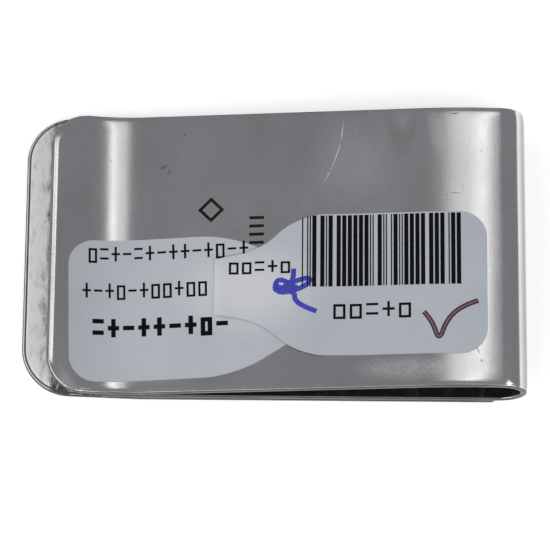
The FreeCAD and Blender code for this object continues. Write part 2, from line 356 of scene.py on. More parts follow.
@dataclass
class Stretch:
    """A straight or evenly curved part of the strip's centreline, in the XZ plane."""

    start_s: float
    x: float
    z: float
    heading: float
    length: float
    curvature: float

    def at(self, local: np.ndarray) -> tuple[np.ndarray, np.ndarray, np.ndarray]:
        """Where the line is at a distance along the stretch.

        Args:
            local: Distances from the stretch's start.

        Returns:
            X, Z and heading at each distance.
        """
        heading = self.heading + self.curvature * local
        if abs(self.curvature) < 1e-9:
            return self.x + local * math.cos(self.heading), self.z + local * math.sin(self.heading), heading
        radius = 1 / self.curvature
        return (self.x + (np.sin(heading) - math.sin(self.heading)) * radius,
                self.z - (np.cos(heading) - math.cos(self.heading)) * radius, heading)


@dataclass
class StripLine:
    """The strip's centreline, from the front leg's free end round the bend to the back arm's lip."""

    thickness: float = 0.81 * MM
    bend_inner_radius: float = 2.2 * MM
    lip_length: float = 8.1 * MM
    lip_radius: float = 17.5 * MM
    crown_radius: float = 45.0 * MM
    crown_start: float = math.radians(3.8)
    grip_gap: float = 0.3 * MM
    stretches: list[Stretch] = field(default_factory=list)

    def __post_init__(self) -> None:
        """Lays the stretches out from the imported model's boxes."""
        leg_low, leg_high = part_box("front_leg")
        arm_low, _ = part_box("back_arm")
        self.leg_end_x = leg_low.x
        self.arm_end_x = arm_low.x
        self.leg_bottom = leg_low.z
        self.leg_top = leg_low.z + self.thickness
        self.bend_x = leg_high.x - self.bend_inner_radius - self.thickness
        self.bend_z = self.leg_top + self.bend_inner_radius
        self.bend_middle_radius = self.bend_inner_radius + self.thickness / 2
        self.crown_middle_radius = self.crown_radius - self.thickness / 2
        self.lip_middle_radius = self.lip_radius + self.thickness / 2
        slope = self.solve_slope()
        lip_turn = slope + math.asin(self.lip_length / self.lip_middle_radius)
        self.add(self.bend_x - self.leg_end_x, 0.0, self.leg_end_x, self.leg_bottom + self.thickness / 2)
        self.bend_start = self.length
        self.add(self.bend_middle_radius * (math.pi - self.crown_start), 1 / self.bend_middle_radius)
        self.arm_start = self.length
        self.add(self.crown_middle_radius * (self.crown_start + slope), 1 / self.crown_middle_radius)
        self.add(self.straight_run(slope), 0.0)
        self.lip_start = self.length
        self.add(self.lip_middle_radius * lip_turn, -1 / self.lip_middle_radius)

    @property
    def length(self) -> float:
        """The line's length so far."""
        return self.stretches[-1].start_s + self.stretches[-1].length if self.stretches else 0.0

    def add(self, length: float, curvature: float, x: float = 0.0, z: float = 0.0) -> None:
        """Adds a stretch to the end of the line, or at x, z where it is the first."""
        heading = 0.0
        start_s = self.length
        if self.stretches:
            last = self.stretches[-1]
            end_x, end_z, end_heading = last.at(np.array([last.length]))
            x, z, heading = float(end_x[0]), float(end_z[0]), float(end_heading[0])
        self.stretches.append(Stretch(start_s, x, z, heading, length, curvature))

    def straight_run(self, slope: float) -> float:
        """Length of the arm's straight part at a slope."""
        grip_reach = self.bend_x - self.arm_end_x - self.lip_length
        to_grip = grip_reach + self.bend_middle_radius * math.sin(self.crown_start)
        crown_reach = self.crown_middle_radius * (math.sin(self.crown_start) + math.sin(slope))
        lip_reach = self.lip_middle_radius * math.sin(slope)
        return (to_grip - crown_reach - lip_reach) / math.cos(slope)

    def solve_slope(self) -> float:
        """The slope that brings the arm down to the grip gap, by halving the range."""
        top = self.bend_z + self.bend_middle_radius * math.cos(self.crown_start)
        wanted = top - (self.leg_top + self.grip_gap + self.thickness / 2)
        low, high = 0.0, math.radians(30)
        for _ in range(60):
            slope = (low + high) / 2
            drop = self.crown_middle_radius * (math.cos(self.crown_start) - math.cos(slope))
            drop += self.straight_run(slope) * math.sin(slope)
            drop += self.lip_middle_radius * (1 - math.cos(slope))
            low, high = (slope, high) if drop < wanted else (low, slope)
        return (low + high) / 2

    def place(self, s: np.ndarray, lift: np.ndarray) -> tuple[np.ndarray, np.ndarray]:
        """Bends flat places onto the strip.

        Args:
            s: Distances along the strip.
            lift: Distances to the left of the line, which is the inside of the bend.

        Returns:
            X and Z of each place.
        """
        x, z = np.empty_like(s), np.empty_like(s)
        for index, stretch in enumerate(self.stretches):
            inside = s >= stretch.start_s if index else np.full(s.shape, True)
            px, pz, heading = stretch.at(s[inside] - stretch.start_s)
            x[inside] = px - np.sin(heading) * lift[inside]
            z[inside] = pz + np.cos(heading) * lift[inside]
        return x, z

    def station(self, x: np.ndarray) -> np.ndarray:
        """Distance along the strip at which the back arm passes over each X."""
        s = np.linspace(self.arm_start, self.length, 1500)
        arm_x, _ = self.place(s, np.zeros_like(s))
        return np.interp(-x, -arm_x, s)

    def wrap(self, piece: Piece) -> None:
        """Bends a flat piece, with X along the strip and Z to its inside, onto the line."""
        points = read_points(piece)
        x, z = self.place(points[:, 0].copy(), points[:, 2].copy())
        points[:, 0], points[:, 2] = x, z
        write_points(piece, points)

    def lay_on_arm(self, piece: Piece) -> None:
        """Lays a piece, modelled in plan with Z as its height over the arm, onto the back arm."""
        points = read_points(piece)
        x, z = self.place(self.station(points[:, 0]), -self.thickness / 2 - points[:, 2])
        points[:, 0], points[:, 2] = x, z
        write_points(piece, points)


# ---- finishes ------------------------------------------------------------------------------------


class Nodes:
    """A material's node tree, with short calls for the nodes that the finishes use."""

    def __init__(self, name: str) -> None:
        """Starts a material with an empty principled shader."""
        self.material = bpy.data.materials.new(name)
        self.material.use_nodes = True
        self.tree = self.material.node_tree
        self.shader = self.tree.nodes["Principled BSDF"]
        self.coordinates = self.add("TexCoord", {}).outputs["Object"]

    def put(self, target: Socket, value: Socket | float | tuple[float, ...]) -> None:
        """Links an input to another node, or sets it where the value is the same all over."""
        if isinstance(value, bpy.types.NodeSocket):
            self.tree.links.new(value, target)
        else:
            target.default_value = value

    def add(self, kind: str, inputs: dict, **settings: str) -> bpy.types.Node:
        """Adds a node.

        Args:
            kind: The node's type, without its ShaderNode prefix.
            inputs: What is put into its inputs, by name or number.
            settings: Its other properties.

        Returns:
            The new node.
        """
        node = self.tree.nodes.new("ShaderNode" + kind)
        for name, setting in settings.items():
            setattr(node, name, setting)
        for key, value in inputs.items():
            self.put(node.inputs[key], value)
        return node

    def mapped(self, scale: Triple, turn: Triple = (0, 0, 0), centre: Triple = (0, 0, 0)) -> Socket:
        """Object coordinates, moved so that centre is the origin, turned and scaled."""
        moved = self.add("Mapping", {"Location": centre, "Rotation": turn, "Vector": self.coordinates},
                         vector_type="TEXTURE")
        return self.add("Mapping", {"Scale": scale, "Vector": moved.outputs["Vector"]}).outputs["Vector"]

    def noise(self, scale: Triple, detail: float = 2.0, roughness: float = 0.5, turn: Triple = (0, 0, 0),
              centre: Triple = (0, 0, 0)) -> Socket:
        """Soft noise from 0 to 1, on mapped coordinates."""
        return self.add("TexNoise", {"Scale": 1.0, "Detail": detail, "Roughness": roughness,
                                     "Vector": self.mapped(scale, turn, centre)}).outputs["Fac"]

    def cells(self, scale: Triple) -> Socket:
        """Distance to the nearest of a scatter of points, on mapped coordinates."""
        return self.add("TexVoronoi", {"Scale": 1.0, "Vector": self.mapped(scale)}).outputs["Distance"]

    def near(self, reach: tuple[float, float], centre: tuple[float, float], turn_deg: float = 0.0) -> Socket:
        """One at a place in plan, falling to zero at a reach along and across it, all in millimetres."""
        scale = (1 / (reach[0] * MM), 1 / (reach[1] * MM), 0.0)
        place = self.mapped(scale, (0, 0, math.radians(turn_deg)), (centre[0] * MM, centre[1] * MM, 0))
        return self.add("TexGradient", {"Vector": place}, gradient_type="SPHERICAL").outputs["Fac"]

    def spread(self, value: Socket, low: float, high: float, to_low: float = 0.0,
               to_high: float = 1.0) -> Socket:
        """Spreads the values between low and high over a new range, and holds them inside it."""
        return self.add("MapRange", {"From Min": low, "From Max": high, "To Min": to_low, "To Max": to_high,
                                     "Value": value}).outputs["Result"]

    def calculate(self, operation: str, first: Socket, second: Socket | float = 0.0) -> Socket:
        """One step of arithmetic on one or two values."""
        return self.add("Math", {0: first, 1: second}, operation=operation).outputs["Value"]

    def blend(self, share: Socket, first: Socket | Colour, second: Socket | Colour) -> Socket:
        """A colour between two colours, by a share from 0 to 1."""
        first, second = ((*end, 1.0) if isinstance(end, tuple) else end for end in (first, second))
        return self.add("Mix", {"Factor": share, 6: first, 7: second}, data_type="RGBA").outputs[2]

    def axis(self, name: str) -> Socket:
        """One of the object coordinates, in metres."""
        return self.add("SeparateXYZ", {"Vector": self.coordinates}).outputs[name]

    def bump(self, height: Socket, distance: float, strength: float, under: Socket | None = None) -> Socket:
        """A bump of a real height in metres, over another bump where one is given."""
        inputs = {"Distance": distance, "Strength": strength, "Height": height}
        if under is not None:
            inputs["Normal"] = under
        return self.add("Bump", inputs).outputs["Normal"]

    def finish(self, colour: Socket, roughness: Socket | float, normal: Socket | None = None,
               **others: float | Socket | Colour) -> Material:
        """Feeds the shader and hands over the material.

        Args:
            colour: The base colour.
            roughness: The roughness.
            normal: The bumped normal, if there is one.
            others: The shader's other inputs, by name with _ for a space.

        Returns:
            The finished material.
        """
        inputs = {"Base Color": colour, "Roughness": roughness}
        if normal is not None:
            inputs["Normal"] = normal
        inputs.update({name.replace("_", " "): value for name, value in others.items()})
        for name, value in inputs.items():
            self.put(self.shader.inputs[name], value)
        return self.material


@dataclass(frozen=True)
class ScuffAndPaintedLight:
    """A soft darker or lighter streak on the arm, in plan and in millimetres: a worn place, a painted shadow,
    a painted highlight.
    """

    x: float
    y: float
    length: float
    width: float
    turn_deg: float
    strength: float


@dataclass(frozen=True)
class Scratch:
    """A fine curved scratch in plan, in millimetres: part of a circle, seen within a round window."""

    centre: tuple[float, float]
    radius: float
    width: float
    window: tuple[float, float]
    window_radius: float


@dataclass(frozen=True)
class SatinSilver:
    """Silver strip rubbed to a satin, with hairlines, pin pricks, a thin film of tarnish and worn places,
    plus a painted shadow, painted highlights and a painted darker reflection on the bend.
    """

    name: str = "satin_silver"
    clean: Colour = (0.76, 0.757, 0.75)
    film: Colour = (0.64, 0.632, 0.625)
    # the dark of pin pricks and dark streaks, including the painted V-shaped shadow near the far edge
    stain_and_painted_shadow: Colour = (0.10, 0.085, 0.08)
    bright: Colour = (0.93, 0.93, 0.92)
    rubbed: Colour = (0.55, 0.545, 0.54)
    bend_painted_reflection: Colour = (0.27, 0.25, 0.243)
    bend_painted_reflection_x: float | None = None
    roughness: float = 0.155
    dark_scuffs_and_painted_shadow: tuple[ScuffAndPaintedLight, ...] = ()
    painted_highlights_and_light_scuffs: tuple[ScuffAndPaintedLight, ...] = ()
    scratches: tuple[Scratch, ...] = ()

    def streaks(self, nodes: Nodes, scuffs: Sequence[ScuffAndPaintedLight]) -> Socket | None:
        """The sum of several streaks' masks, scuffs and painted light alike, broken up by fine noise."""
        total = None
        for scuff in scuffs:
            place = nodes.near((scuff.length / 2, scuff.width / 2), (scuff.x, scuff.y), scuff.turn_deg)
            mask = nodes.spread(place, 0.0, 0.6, 0.0, scuff.strength)
            total = mask if total is None else nodes.calculate("MAXIMUM", total, mask)
        if total is None:
            return None
        grit = nodes.spread(nodes.noise((4200, 4200, 4200), detail=3), 0.35, 0.6, 0.45, 1.0)
        return nodes.calculate("MULTIPLY", total, grit)

    def scratch_mask(self, nodes: Nodes, scratch: Scratch) -> Socket:
        """One along a scratch's line, fading towards its ends."""
        centre = (scratch.centre[0] * MM, scratch.centre[1] * MM, 0.0)
        from_centre = nodes.mapped((1 / MM, 1 / MM, 0.0), centre=centre)
        reach = nodes.add("VectorMath", {0: from_centre}, operation="LENGTH").outputs["Value"]
        off_line = nodes.calculate("ABSOLUTE", nodes.calculate("SUBTRACT", reach, scratch.radius))
        line = nodes.spread(off_line, 0.2 * scratch.width, scratch.width, 1.0, 0.0)
        window = nodes.near((scratch.window_radius, scratch.window_radius), scratch.window)
        gaps = nodes.spread(nodes.noise((900, 900, 0)), 0.38, 0.55, 0.25, 1.0)
        faded = nodes.calculate("MULTIPLY", nodes.spread(window, 0.0, 0.4), gaps)
        return nodes.calculate("MULTIPLY", line, faded)

    def make(self) -> Material:
        """Builds the material."""
        nodes = Nodes(self.name)
        film = nodes.noise((110, 60, 110), detail=4, roughness=0.55)
        colour = nodes.blend(nodes.spread(film, 0.35, 0.70), self.clean, self.film)
        rub = nodes.noise((3200, 2200, 3200), detail=3, roughness=0.7)
        colour = nodes.blend(nodes.spread(rub, 0.30, 0.72, 0.0, 0.30), colour, self.rubbed)
        pricks = nodes.cells((1100, 1100, 1100))
        prick_shade = nodes.spread(pricks, 0.03, 0.09, 0.8, 0.0)
        rare = nodes.spread(nodes.noise((420, 420, 420), detail=0), 0.63, 0.68)
        prick_shade = nodes.calculate("MULTIPLY", prick_shade, rare)
        colour = nodes.blend(prick_shade, colour, self.stain_and_painted_shadow)
        cloud = nodes.noise((220, 140, 220), centre=(0.01, 0.02, 0), detail=3)
        roughness = nodes.spread(cloud, 0.3, 0.7, self.roughness - 0.012, self.roughness + 0.02)
        hollows = prick_shade
        # dark streaks: scuffs and small marks, and a painted V-shaped shadow near the far edge
        dark = self.streaks(nodes, self.dark_scuffs_and_painted_shadow)
        if dark is not None:
            colour = nodes.blend(dark, colour, self.stain_and_painted_shadow)
            roughness = nodes.calculate("ADD", roughness, nodes.calculate("MULTIPLY", dark, 0.15))
            hollows = nodes.calculate("MAXIMUM", hollows, dark)
        # light streaks: the long ones along the near side at the crown and the lip are painted highlights;
        # the others lighten and roughen patches of the arm
        light = self.streaks(nodes, self.painted_highlights_and_light_scuffs)
        if light is not None:
            roughness = nodes.calculate("ADD", roughness, nodes.calculate("MULTIPLY", light, 0.16))
            colour = nodes.blend(light, colour, self.bright)
        # painted reflection: past the arm the bend is darkened and warmed in colour, standing for a darker
        # reflection than the pale floor gives
        if self.bend_painted_reflection_x is not None:
            bend = nodes.spread(nodes.axis("X"), self.bend_painted_reflection_x, self.bend_painted_reflection_x + 0.5 * MM, 0.0, 0.75)
            colour = nodes.blend(bend, colour, self.bend_painted_reflection)
        for scratch in self.scratches:
            mask = self.scratch_mask(nodes, scratch)
            colour = nodes.blend(mask, colour, self.bright)
            roughness = nodes.calculate("ADD", roughness, nodes.calculate("MULTIPLY", mask, 0.35))
            hollows = nodes.calculate("MAXIMUM", hollows, mask)
        swell = nodes.noise((150, 105, 150), centre=(0.03, 0, 0), detail=2)
        grain = nodes.noise((14000, 900, 14000), detail=2)
        normal = nodes.bump(swell, 0.008 * MM, 0.2)
        normal = nodes.bump(grain, 0.0026 * MM, 0.6, normal)
        normal = nodes.bump(rub, 0.0016 * MM, 0.5, normal)
        normal = nodes.bump(hollows, -0.008 * MM, 0.5, normal)
        return nodes.finish(colour, roughness, normal, Metallic=1.0)


@dataclass(frozen=True)
class SheetEdge:
    """The cut edge of the silver sheet: duller and darker than its faces, with drag lines along it. Its dark
    is partly painted shade, which keeps the edges from mirroring the bright floor.
    """

    name: str = "sheet_edge"
    # dull cut metal, made darker still as painted shade
    dull: Colour = (0.14, 0.132, 0.127)
    dark: Colour = (0.055, 0.048, 0.045)
    roughness: float = 0.33

    def make(self) -> Material:
        """Builds the material."""
        nodes = Nodes(self.name)
        drag = nodes.noise((350, 350, 6000), detail=4, roughness=0.6)
        colour = nodes.blend(nodes.spread(drag, 0.40, 0.72), self.dull, self.dark)
        roughness = nodes.spread(drag, 0.3, 0.7, self.roughness, self.roughness + 0.12)
        return nodes.finish(colour, roughness, nodes.bump(drag, 0.01 * MM, 0.6), Metallic=1.0)


@dataclass(frozen=True)
class DarkSilver:
    """Silver gone dark in struck marks; inside the fold the same dark is painted shade, which can pale away
    from the bend.
    """

    name: str = "dark_silver"
    pale_end: Colour = (0.33, 0.315, 0.30)
    fade: tuple[float, float] | None = None  # the X at which the fold's painted shade is palest, and the X at which it is dark
    dark: Colour = (0.012, 0.010, 0.009)
    bare: Colour = (0.04, 0.035, 0.03)

    def make(self) -> Material:
        """Builds the material."""
        nodes = Nodes(self.name)
        patches = nodes.noise((500, 260, 500), detail=5, roughness=0.65)
        colour = nodes.blend(nodes.spread(patches, 0.45, 0.75), self.dark, self.bare)
        if self.fade is not None:
            unevenness = nodes.spread(patches, 0.3, 0.7, -0.15, 0.15)
            depth = nodes.calculate("ADD", nodes.spread(nodes.axis("X"), *self.fade), unevenness)
            colour = nodes.blend(depth, self.pale_end, colour)
        roughness = nodes.spread(patches, 0.3, 0.7, 0.62, 0.42)
        return nodes.finish(colour, roughness, nodes.bump(patches, 0.02 * MM, 0.6), Metallic=0.8)


@dataclass(frozen=True)
class RawPlate:
    """The face plate's unpolished back: pale, rough and filed, with dark residue towards the solder."""

    name: str = "raw_plate"
    pale: Colour = (0.95, 0.935, 0.915)
    film: Colour = (0.66, 0.63, 0.60)
    residue: Colour = (0.045, 0.035, 0.030)

    def make(self, arm_end_x: float) -> Material:
        """Builds the material.

        Args:
            arm_end_x: Where the back arm ends, under which the residue gathers.

        Returns:
            The finished material.
        """
        nodes = Nodes(self.name)
        blotch = nodes.noise((1500, 700, 1500), detail=6, roughness=0.6)
        colour = nodes.blend(nodes.spread(blotch, 0.48, 0.80), self.pale, self.film)
        residue_noise = nodes.noise((1300, 330, 1300), detail=6, roughness=0.7)
        nearness = nodes.spread(nodes.axis("X"), arm_end_x - 2.6 * MM, arm_end_x + 0.5 * MM)
        residue = nodes.calculate("ADD", nodes.calculate("MULTIPLY", nearness, 0.42), residue_noise)
        residue = nodes.spread(residue, 0.73, 0.97)
        colour = nodes.blend(residue, colour, self.residue)
        roughness = nodes.spread(residue, 0.0, 1.0, 0.40, 0.65)
        metallic = nodes.spread(residue, 0.0, 1.0, 0.58, 0.3)
        file_marks = nodes.noise((2500, 9000, 2500), turn=(0, 0, 0.5), detail=3)
        normal = nodes.bump(blotch, 0.05 * MM, 0.5)
        normal = nodes.bump(file_marks, 0.004 * MM, 0.6, normal)
        return nodes.finish(colour, roughness, normal, Metallic=metallic)


@dataclass(frozen=True)
class SolderSeam:
    """Dull, pitted solder."""

    name: str = "solder_seam"
    dull: Colour = (0.20, 0.18, 0.16)
    bright: Colour = (0.50, 0.47, 0.43)

    def make(self) -> Material:
        """Builds the material."""
        nodes = Nodes(self.name)
        lumps = nodes.noise((2600, 1500, 2600), detail=5, roughness=0.6)
        colour = nodes.blend(nodes.spread(lumps, 0.45, 0.7), self.dull, self.bright)
        roughness = nodes.spread(lumps, 0.3, 0.7, 0.6, 0.35)
        return nodes.finish(colour, roughness, nodes.bump(lumps, 0.08 * MM, 0.8), Metallic=1.0)


@dataclass(frozen=True)
class GoldFill:
    """Warm gold-filled sheet and beads, lightly rubbed."""

    name: str = "gold_fill"
    gold: Colour = (0.86, 0.60, 0.27)
    rubbed: Colour = (0.74, 0.53, 0.29)
    roughness: float = 0.2

    def make(self) -> Material:
        """Builds the material."""
        nodes = Nodes(self.name)
        rub = nodes.noise((700, 700, 700), detail=5, roughness=0.6)
        colour = nodes.blend(nodes.spread(rub, 0.4, 0.7), self.gold, self.rubbed)
        roughness = nodes.spread(rub, 0.3, 0.7, self.roughness, self.roughness + 0.14)
        grain = nodes.noise((1200, 15000, 1200), turn=(0, 0, 0.2), detail=2)
        return nodes.finish(colour, roughness, nodes.bump(grain, 0.0015 * MM, 0.6), Metallic=1.0)


@dataclass(frozen=True)
class TagPaper:
    """Cool white coated paper with faint fibres, scuffs and soft creases, and painted light on the raised
    neck by the fold.
    """

    name: str = "tag_paper"
    white: Colour = (0.42, 0.445, 0.475)
    shade: Colour = (0.385, 0.41, 0.445)
    scuff: Colour = (0.46, 0.475, 0.49)
    neck_painted_light: Colour = (0.54, 0.555, 0.57)

    def make(self) -> Material:
        """Builds the material."""
        nodes = Nodes(self.name)
        cloud = nodes.noise((90, 90, 90), detail=3)
        colour = nodes.blend(nodes.spread(cloud, 0.35, 0.7), self.white, self.shade)
        scuff = nodes.noise((260, 1400, 600), turn=(0, 0, 0.35), detail=5, roughness=0.7)
        colour = nodes.blend(nodes.spread(scuff, 0.60, 0.78), colour, self.scuff)
        # painted light: the raised neck by the fold, tilted to the light, is lightened in colour
        neck_painted_light = nodes.near((9.0, 6.0), (-3.0, -4.6))
        colour = nodes.blend(nodes.spread(neck_painted_light, 0.0, 0.75), colour, self.neck_painted_light)
        roughness = nodes.spread(scuff, 0.3, 0.7, 0.48, 0.60)
        fibres = nodes.noise((7000, 5000, 7000), detail=3)
        crease = nodes.noise((120, 60, 120), centre=(0.02, 0.01, 0), detail=2)
        normal = nodes.bump(crease, 0.12 * MM, 0.35)
        return nodes.finish(colour, roughness, nodes.bump(fibres, 0.004 * MM, 0.5, normal))


@dataclass(frozen=True)
class Ink:
    """Printed or written ink that breaks up a little over the paper's fibres."""

    name: str
    colour: Colour
    thin: Colour
    roughness: float = 0.4

    def make(self) -> Material:
        """Builds the material."""
        nodes = Nodes(self.name)
        fibres = nodes.noise((5000, 5000, 5000), detail=3)
        colour = nodes.blend(nodes.spread(fibres, 0.45, 0.8), self.colour, self.thin)
        roughness = nodes.spread(fibres, 0.3, 0.7, self.roughness, self.roughness + 0.15)
        return nodes.finish(colour, roughness, nodes.bump(fibres, 0.003 * MM, 0.4), Specular_IOR_Level=0.06)


# ---- the spring strip ----------------------------------------------------------------------------


class StripSlot(IntEnum):
    """The strip's materials, in the order in which it is dressed."""

    SILVER = 0
    FOLD = 1
    EDGE = 2
    MARK = 3


@dataclass
class SpringStrip:
    """The bent strip: a front leg, and the bend with the back arm, cut from one flat blank."""

    line: StripLine
    leg_corner: float = 4.0 * MM
    arm_corner: float = 4.0 * MM
    side_taper: float = 0.42 * MM
    side_taper_length: float = 13.0 * MM
    rim: float = 0.16 * MM
    worn_rings: tuple[tuple[float, float], ...] = (
        (0.14 * MM, 0.030 * MM), (0.22 * MM, 0.030 * MM), (0.35 * MM, 0.018 * MM), (0.5 * MM, 0.008 * MM))
    lip_wear: float = 0.24 * MM
    lip_wear_reach: float = 1.3 * MM
    seam_before_bend: float = 0.4 * MM
    punch_depth: float = 0.11 * MM
    punch_line: float = 0.34 * MM
    lozenge_size: float = 2.9 * MM
    lozenge: tuple[float, float] = (-6.9 * MM, 4.75 * MM)
    tally_count: int = 4
    tally_length: float = 1.6 * MM
    tally_pitch: float = 0.95 * MM
    tally: tuple[float, float] = (-1.9 * MM, 3.7 * MM)

    def blank(self) -> Piece:
        """The flat blank with rounded corners and rubbed-down edges, X along the strip."""
        half = -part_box("back_arm")[0].y
        plate_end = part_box("face_plate")[0].x
        taper_x = plate_end + self.side_taper_length
        narrow = half - self.side_taper * (taper_x - self.line.leg_end_x) / self.side_taper_length
        stations = [Station(0.0, narrow, self.leg_corner), Station(taper_x - self.line.leg_end_x, half),
                    Station(self.line.length, half, self.arm_corner)]
        strip = add_blank("strip_blank", stations)
        worn = sum(rise for _, rise in self.worn_rings)
        strip.data.transform(Matrix.Translation((0, 0, worn - self.line.thickness / 2)))
        thicken(strip, self.line.thickness - worn)
        soften_rim(strip, self.rim, steps=4)
        wear_skin(strip, -1, self.worn_rings)
        return strip

    def punch(self, outline: Piece) -> None:
        """Makes a flat outline a cutter that stands in the outer skin of the blank."""
        outline.data.transform(Matrix.Translation((0, 0, -self.line.thickness / 2 - self.punch_depth)))
        thicken(outline, 2 * self.punch_depth)

    def strike_marks(self, strip: Piece) -> None:
        """Punches an open lozenge and a short tally of bars into the arm's outer side."""
        x, y = self.lozenge
        s = float(self.line.station(np.array([x]))[0])
        side = self.lozenge_size / math.sqrt(2)
        ring = add_rectangle("lozenge_punch", (-side / 2, -side / 2), (side / 2, side / 2))
        enter_edit(ring)
        bpy.ops.mesh.select_all(action="SELECT")
        bpy.ops.mesh.inset(thickness=self.punch_line, depth=0.0)
        bpy.ops.mesh.delete(type="FACE")
        leave_edit()
        ring.rotation_euler.z = math.pi / 4
        ring.location = (s, y, 0.0)
        bpy.ops.object.transform_apply(location=True, rotation=True, scale=False)
        self.punch(ring)
        carve(strip, ring)
        x, top_y = self.tally
        s = float(self.line.station(np.array([x]))[0])
        for index in range(self.tally_count):
            y = top_y - index * self.tally_pitch
            bar = add_rectangle("tally_punch", (s - self.tally_length / 2, y - self.punch_line / 2),
                                (s + self.tally_length / 2, y + self.punch_line / 2))
            self.punch(bar)
            carve(strip, bar)

    def slice_for_bending(self, strip: Piece) -> None:
        """Cuts the blank across often enough for each stretch to bend smoothly, and along its length."""
        line = self.line
        across = list(np.linspace(2 * MM, line.bend_start - 1 * MM, 16))
        across += list(np.linspace(line.bend_start, line.arm_start, 61))
        across += list(np.linspace(line.arm_start, line.arm_start + 8.6 * MM, 28)[1:])
        across += list(np.arange(line.arm_start + 10 * MM, line.lip_start - 0.4 * MM, 1.4 * MM))
        across += list(np.linspace(line.lip_start, line.length - 0.3 * MM, 44))
        half = -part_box("back_arm")[0].y
        enter_edit(strip)
        slice_mesh(across, X_AXIS)
        slice_mesh(np.linspace(-half + 1.5 * MM, half - 1.5 * MM, 15), Y_AXIS)
        leave_edit()

    def wear_lip(self, strip: Piece) -> None:
        """Rubs the arm's free end down over a wide soft band that follows its round corners."""
        line = self.line
        half = -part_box("back_arm")[0].y
        points = read_points(strip)
        x, y, z = points.T
        past_x = np.maximum(x - (line.length - self.arm_corner), 0.0)
        past_y = np.maximum(np.abs(y) - (half - self.arm_corner), 0.0)
        inwards = self.arm_corner - np.hypot(past_x, past_y)
        share = np.clip(1.0 - inwards / self.lip_wear_reach, 0.0, 1.0) ** 2
        fade = np.clip((x - (line.length - self.arm_corner)) / (0.6 * self.arm_corner), 0.0, 1.0)
        fade = fade * fade * (3.0 - 2.0 * fade)
        points[:, 2] += self.lip_wear * share * fade * (line.thickness / 2 - z) / line.thickness
        write_points(strip, points)

    def paint_faces(self, piece: Piece) -> None:
        """Gives each face of the bent-out strip its material, by where it lies and how it is turned."""
        line = self.line
        inner = line.thickness / 2 - 1e-6
        outer = -line.thickness / 2 + 1e-6
        half = -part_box("back_arm")[0].y
        for face in piece.data.polygons:
            heights = [piece.data.vertices[v].co.z for v in face.vertices]
            near_marks = line.arm_start < face.center.x < line.lip_start and abs(face.center.y) < half / 2
            steep = LIP_STEEP if face.center.x > line.length - self.arm_corner else STEEP
            if near_marks and outer < max(heights) < outer + 1.5 * self.punch_depth:
                face.material_index = StripSlot.MARK
            # inner faces of the fold get painted shade, dark near the bend
            elif min(heights) > inner:
                face.material_index = StripSlot.FOLD
            elif abs(face.normal.z) < steep:
                face.material_index = StripSlot.EDGE
            else:
                face.material_index = StripSlot.SILVER

    def build(self, silver: Material, fold: Material, edge: Material, dark: Material) -> None:
        """Models both pieces of the strip, attaches the leg to the face's body and bakes the bend with the
        arm in place without a body.
        """
        strip = self.blank()
        self.strike_marks(strip)
        self.slice_for_bending(strip)
        self.wear_lip(strip)
        leg = copy_piece(strip, "leg_strip")
        arm = copy_piece(strip, "bend_and_arm_strip")
        bpy.data.objects.remove(strip)
        seam = self.line.bend_start - self.seam_before_bend
        cut_off(leg, seam, X_AXIS, keep_low=True)
        cut_off(arm, seam, X_AXIS, keep_low=False)
        for piece in (leg, arm):
            dress(piece, silver, fold, edge, dark)
            self.paint_faces(piece)
            self.line.wrap(piece)
            smooth(piece)
            log.info("%s: %d faces", piece.name, len(piece.data.polygons))
        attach(leg, "face")
        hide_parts("front_leg")
        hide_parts("back_arm")
        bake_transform(arm)


# ---- the face ------------------------------------------------------------------------------------


class PlateSlot(IntEnum):
    """The plate's materials, in the order in which it is dressed."""

    BACK = 0
    UNDERSIDE = 1
    EDGE = 2


@dataclass
class FacePlate:
    """The plate under the front leg and the solder round the leg's end."""

    free_corner: float = 5.2 * MM
    bend_corner: float = 0.8 * MM
    side_taper: float = 0.42 * MM
    side_taper_length: float = 13.0 * MM
    far_flare: float = 0.6 * MM
    far_flare_length: float = 30.0 * MM
    rim: float = 0.2 * MM
    worn_rings: tuple[tuple[float, float], ...] = (
        (0.2 * MM, 0.07 * MM), (0.3 * MM, 0.03 * MM), (0.5 * MM, 0.012 * MM))

    def build(self, raw: Material, dark: Material, edge: Material) -> None:
        """Models the plate, with its far side run out and its underside dark behind the overlay."""
        low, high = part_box("face_plate")
        half = -low.y
        flare_step = self.far_flare / self.far_flare_length
        far_at_taper = half + flare_step * (self.far_flare_length - self.side_taper_length)
        stations = [Station(low.x, half - self.side_taper, self.free_corner, half + self.far_flare),
                    Station(low.x + self.side_taper_length, half, 0.0, far_at_taper),
                    Station(low.x + self.far_flare_length, half), Station(high.x, half, self.bend_corner)]
        plate = add_blank("plate", stations, corner_steps=24)
        plate.data.transform(Matrix.Translation((0, 0, low.z)))
        worn = sum(rise for _, rise in self.worn_rings)
        thicken(plate, high.z - low.z - worn)
        soften_rim(plate, self.rim, steps=5)
        wear_skin(plate, 1, self.worn_rings)
        dress(plate, raw, dark, edge)
        for face in plate.data.polygons:
            if face.normal.z < -0.99:
                face.material_index = PlateSlot.UNDERSIDE
            else:
                face.material_index = PlateSlot.EDGE if face.normal.z < STEEP else PlateSlot.BACK
        smooth(plate)
        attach(plate, "face")
        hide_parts("face_plate")
        log.info("%s: %d faces", plate.name, len(plate.data.polygons))


